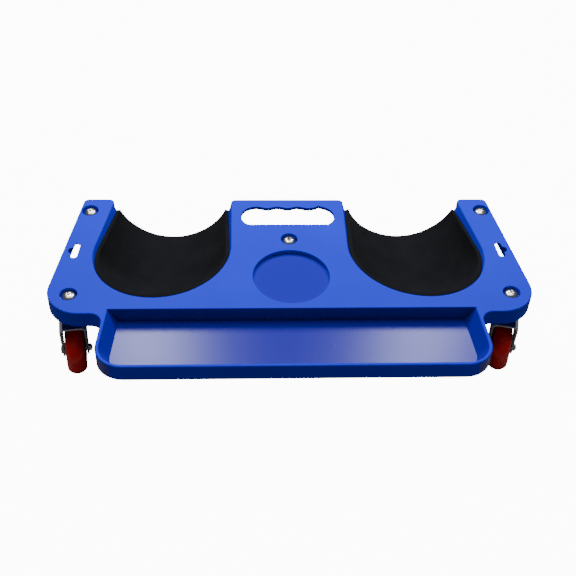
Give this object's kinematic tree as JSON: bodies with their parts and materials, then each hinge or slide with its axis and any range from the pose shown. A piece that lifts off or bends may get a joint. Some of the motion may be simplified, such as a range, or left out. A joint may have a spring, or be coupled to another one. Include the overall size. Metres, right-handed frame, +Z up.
{
  "type": "rolling knee creeper",
  "caption": "Low rolling platform with two foam-lined knee cradles, a front tool tray, a round dish recess, a carrying grip and swivel casters.",
  "frame": {"origin": "centre of the bounding box, on the floor under the wheels", "axes": "+X along the long side, +Y from the tool tray towards the carrying grip, +Z up"},
  "size_m": [0.7108, 0.3602, 0.13],
  "materials": {
    "deck_plastic": "satin moulded polypropylene",
    "pad_foam": "closed-cell foam",
    "bolt_zinc": "bright zinc plate",
    "fork_zinc": "zinc plated pressed steel",
    "ball_steel": "polished bearing steel",
    "nylon": "natural nylon",
    "tread_polyurethane": "glossy polyurethane",
    "core_nylon": "moulded nylon"
  },
  "bodies": {
    "deck": {"platform": "deck_plastic", "knee_pad_left": "pad_foam", "knee_pad_right": "pad_foam", "caster_bolts": "bolt_zinc", "bolt_washers": "bolt_zinc", "race_caps": "fork_zinc", "race_balls": "ball_steel", "king_pin_bushes": "bolt_zinc", "thrust_washers": "nylon", "lower_washers": "bolt_zinc", "lock_nuts": "bolt_zinc"},
    "front_left_swivel": {"front_left_fork": "fork_zinc", "front_left_axle_bolt": "bolt_zinc", "front_left_axle_nut": "bolt_zinc", "front_left_axle_sleeve": "bolt_zinc", "front_left_bearing_inner_rings": "ball_steel"},
    "front_left_wheel": {"front_left_tread": "tread_polyurethane", "front_left_core": "core_nylon", "front_left_bearing_outer_rings": "ball_steel", "front_left_bearing_balls": "ball_steel"},
    "front_right_swivel": {"front_right_fork": "fork_zinc", "front_right_axle_bolt": "bolt_zinc", "front_right_axle_nut": "bolt_zinc", "front_right_axle_sleeve": "bolt_zinc", "front_right_bearing_inner_rings": "ball_steel"},
    "front_right_wheel": {"front_right_tread": "tread_polyurethane", "front_right_core": "core_nylon", "front_right_bearing_outer_rings": "ball_steel", "front_right_bearing_balls": "ball_steel"},
    "rear_left_swivel": {"rear_left_fork": "fork_zinc", "rear_left_axle_bolt": "bolt_zinc", "rear_left_axle_nut": "bolt_zinc", "rear_left_axle_sleeve": "bolt_zinc", "rear_left_bearing_inner_rings": "ball_steel"},
    "rear_left_wheel": {"rear_left_tread": "tread_polyurethane", "rear_left_core": "core_nylon", "rear_left_bearing_outer_rings": "ball_steel", "rear_left_bearing_balls": "ball_steel"},
    "rear_right_swivel": {"rear_right_fork": "fork_zinc", "rear_right_axle_bolt": "bolt_zinc", "rear_right_axle_nut": "bolt_zinc", "rear_right_axle_sleeve": "bolt_zinc", "rear_right_bearing_inner_rings": "ball_steel"},
    "rear_right_wheel": {"rear_right_tread": "tread_polyurethane", "rear_right_core": "core_nylon", "rear_right_bearing_outer_rings": "ball_steel", "rear_right_bearing_balls": "ball_steel"},
    "centre_swivel": {"centre_fork": "fork_zinc", "centre_axle_bolt": "bolt_zinc", "centre_axle_nut": "bolt_zinc", "centre_axle_sleeve": "bolt_zinc", "centre_bearing_inner_rings": "ball_steel"},
    "centre_wheel": {"centre_tread": "tread_polyurethane", "centre_core": "core_nylon", "centre_bearing_outer_rings": "ball_steel", "centre_bearing_balls": "ball_steel"}
  },
  "joints": [
    {"name": "front_left_caster_swivel", "type": "hinge", "parent": "deck", "child": "front_left_swivel", "pos_m": [-0.3234, -0.0383, 0.095], "axis": [0, 0, 1], "continuous": true},
    {"name": "front_left_wheel_spin", "type": "hinge", "parent": "front_left_swivel", "child": "front_left_wheel", "pos_m": [-0.32041, -0.05959, 0.038], "axis": [0.9903, 0.1392, 0], "continuous": true},
    {"name": "front_right_caster_swivel", "type": "hinge", "parent": "deck", "child": "front_right_swivel", "pos_m": [0.3234, -0.0383, 0.095], "axis": [0, 0, 1], "continuous": true},
    {"name": "front_right_wheel_spin", "type": "hinge", "parent": "front_right_swivel", "child": "front_right_wheel", "pos_m": [0.3182, -0.05916, 0.038], "axis": [0.9703, -0.2419, 0], "continuous": true},
    {"name": "rear_left_caster_swivel", "type": "hinge", "parent": "deck", "child": "rear_left_swivel", "pos_m": [-0.3115, 0.1511, 0.095], "axis": [0, 0, 1], "continuous": true},
    {"name": "rear_left_wheel_spin", "type": "hinge", "parent": "rear_left_swivel", "child": "rear_left_wheel", "pos_m": [-0.30703, 0.13007, 0.038], "axis": [0.9781, 0.2079, 0], "continuous": true},
    {"name": "rear_right_caster_swivel", "type": "hinge", "parent": "deck", "child": "rear_right_swivel", "pos_m": [0.3115, 0.1511, 0.095], "axis": [0, 0, 1], "continuous": true},
    {"name": "rear_right_wheel_spin", "type": "hinge", "parent": "rear_right_swivel", "child": "rear_right_wheel", "pos_m": [0.30925, 0.12972, 0.038], "axis": [0.9945, -0.1045, 0], "continuous": true},
    {"name": "centre_caster_swivel", "type": "hinge", "parent": "deck", "child": "centre_swivel", "pos_m": [0, 0.0817, 0.095], "axis": [0, 0, 1], "continuous": true},
    {"name": "centre_wheel_spin", "type": "hinge", "parent": "centre_swivel", "child": "centre_wheel", "pos_m": [0.0015, 0.06025, 0.038], "axis": [0.9976, 0.0698, 0], "continuous": true}
  ]
}
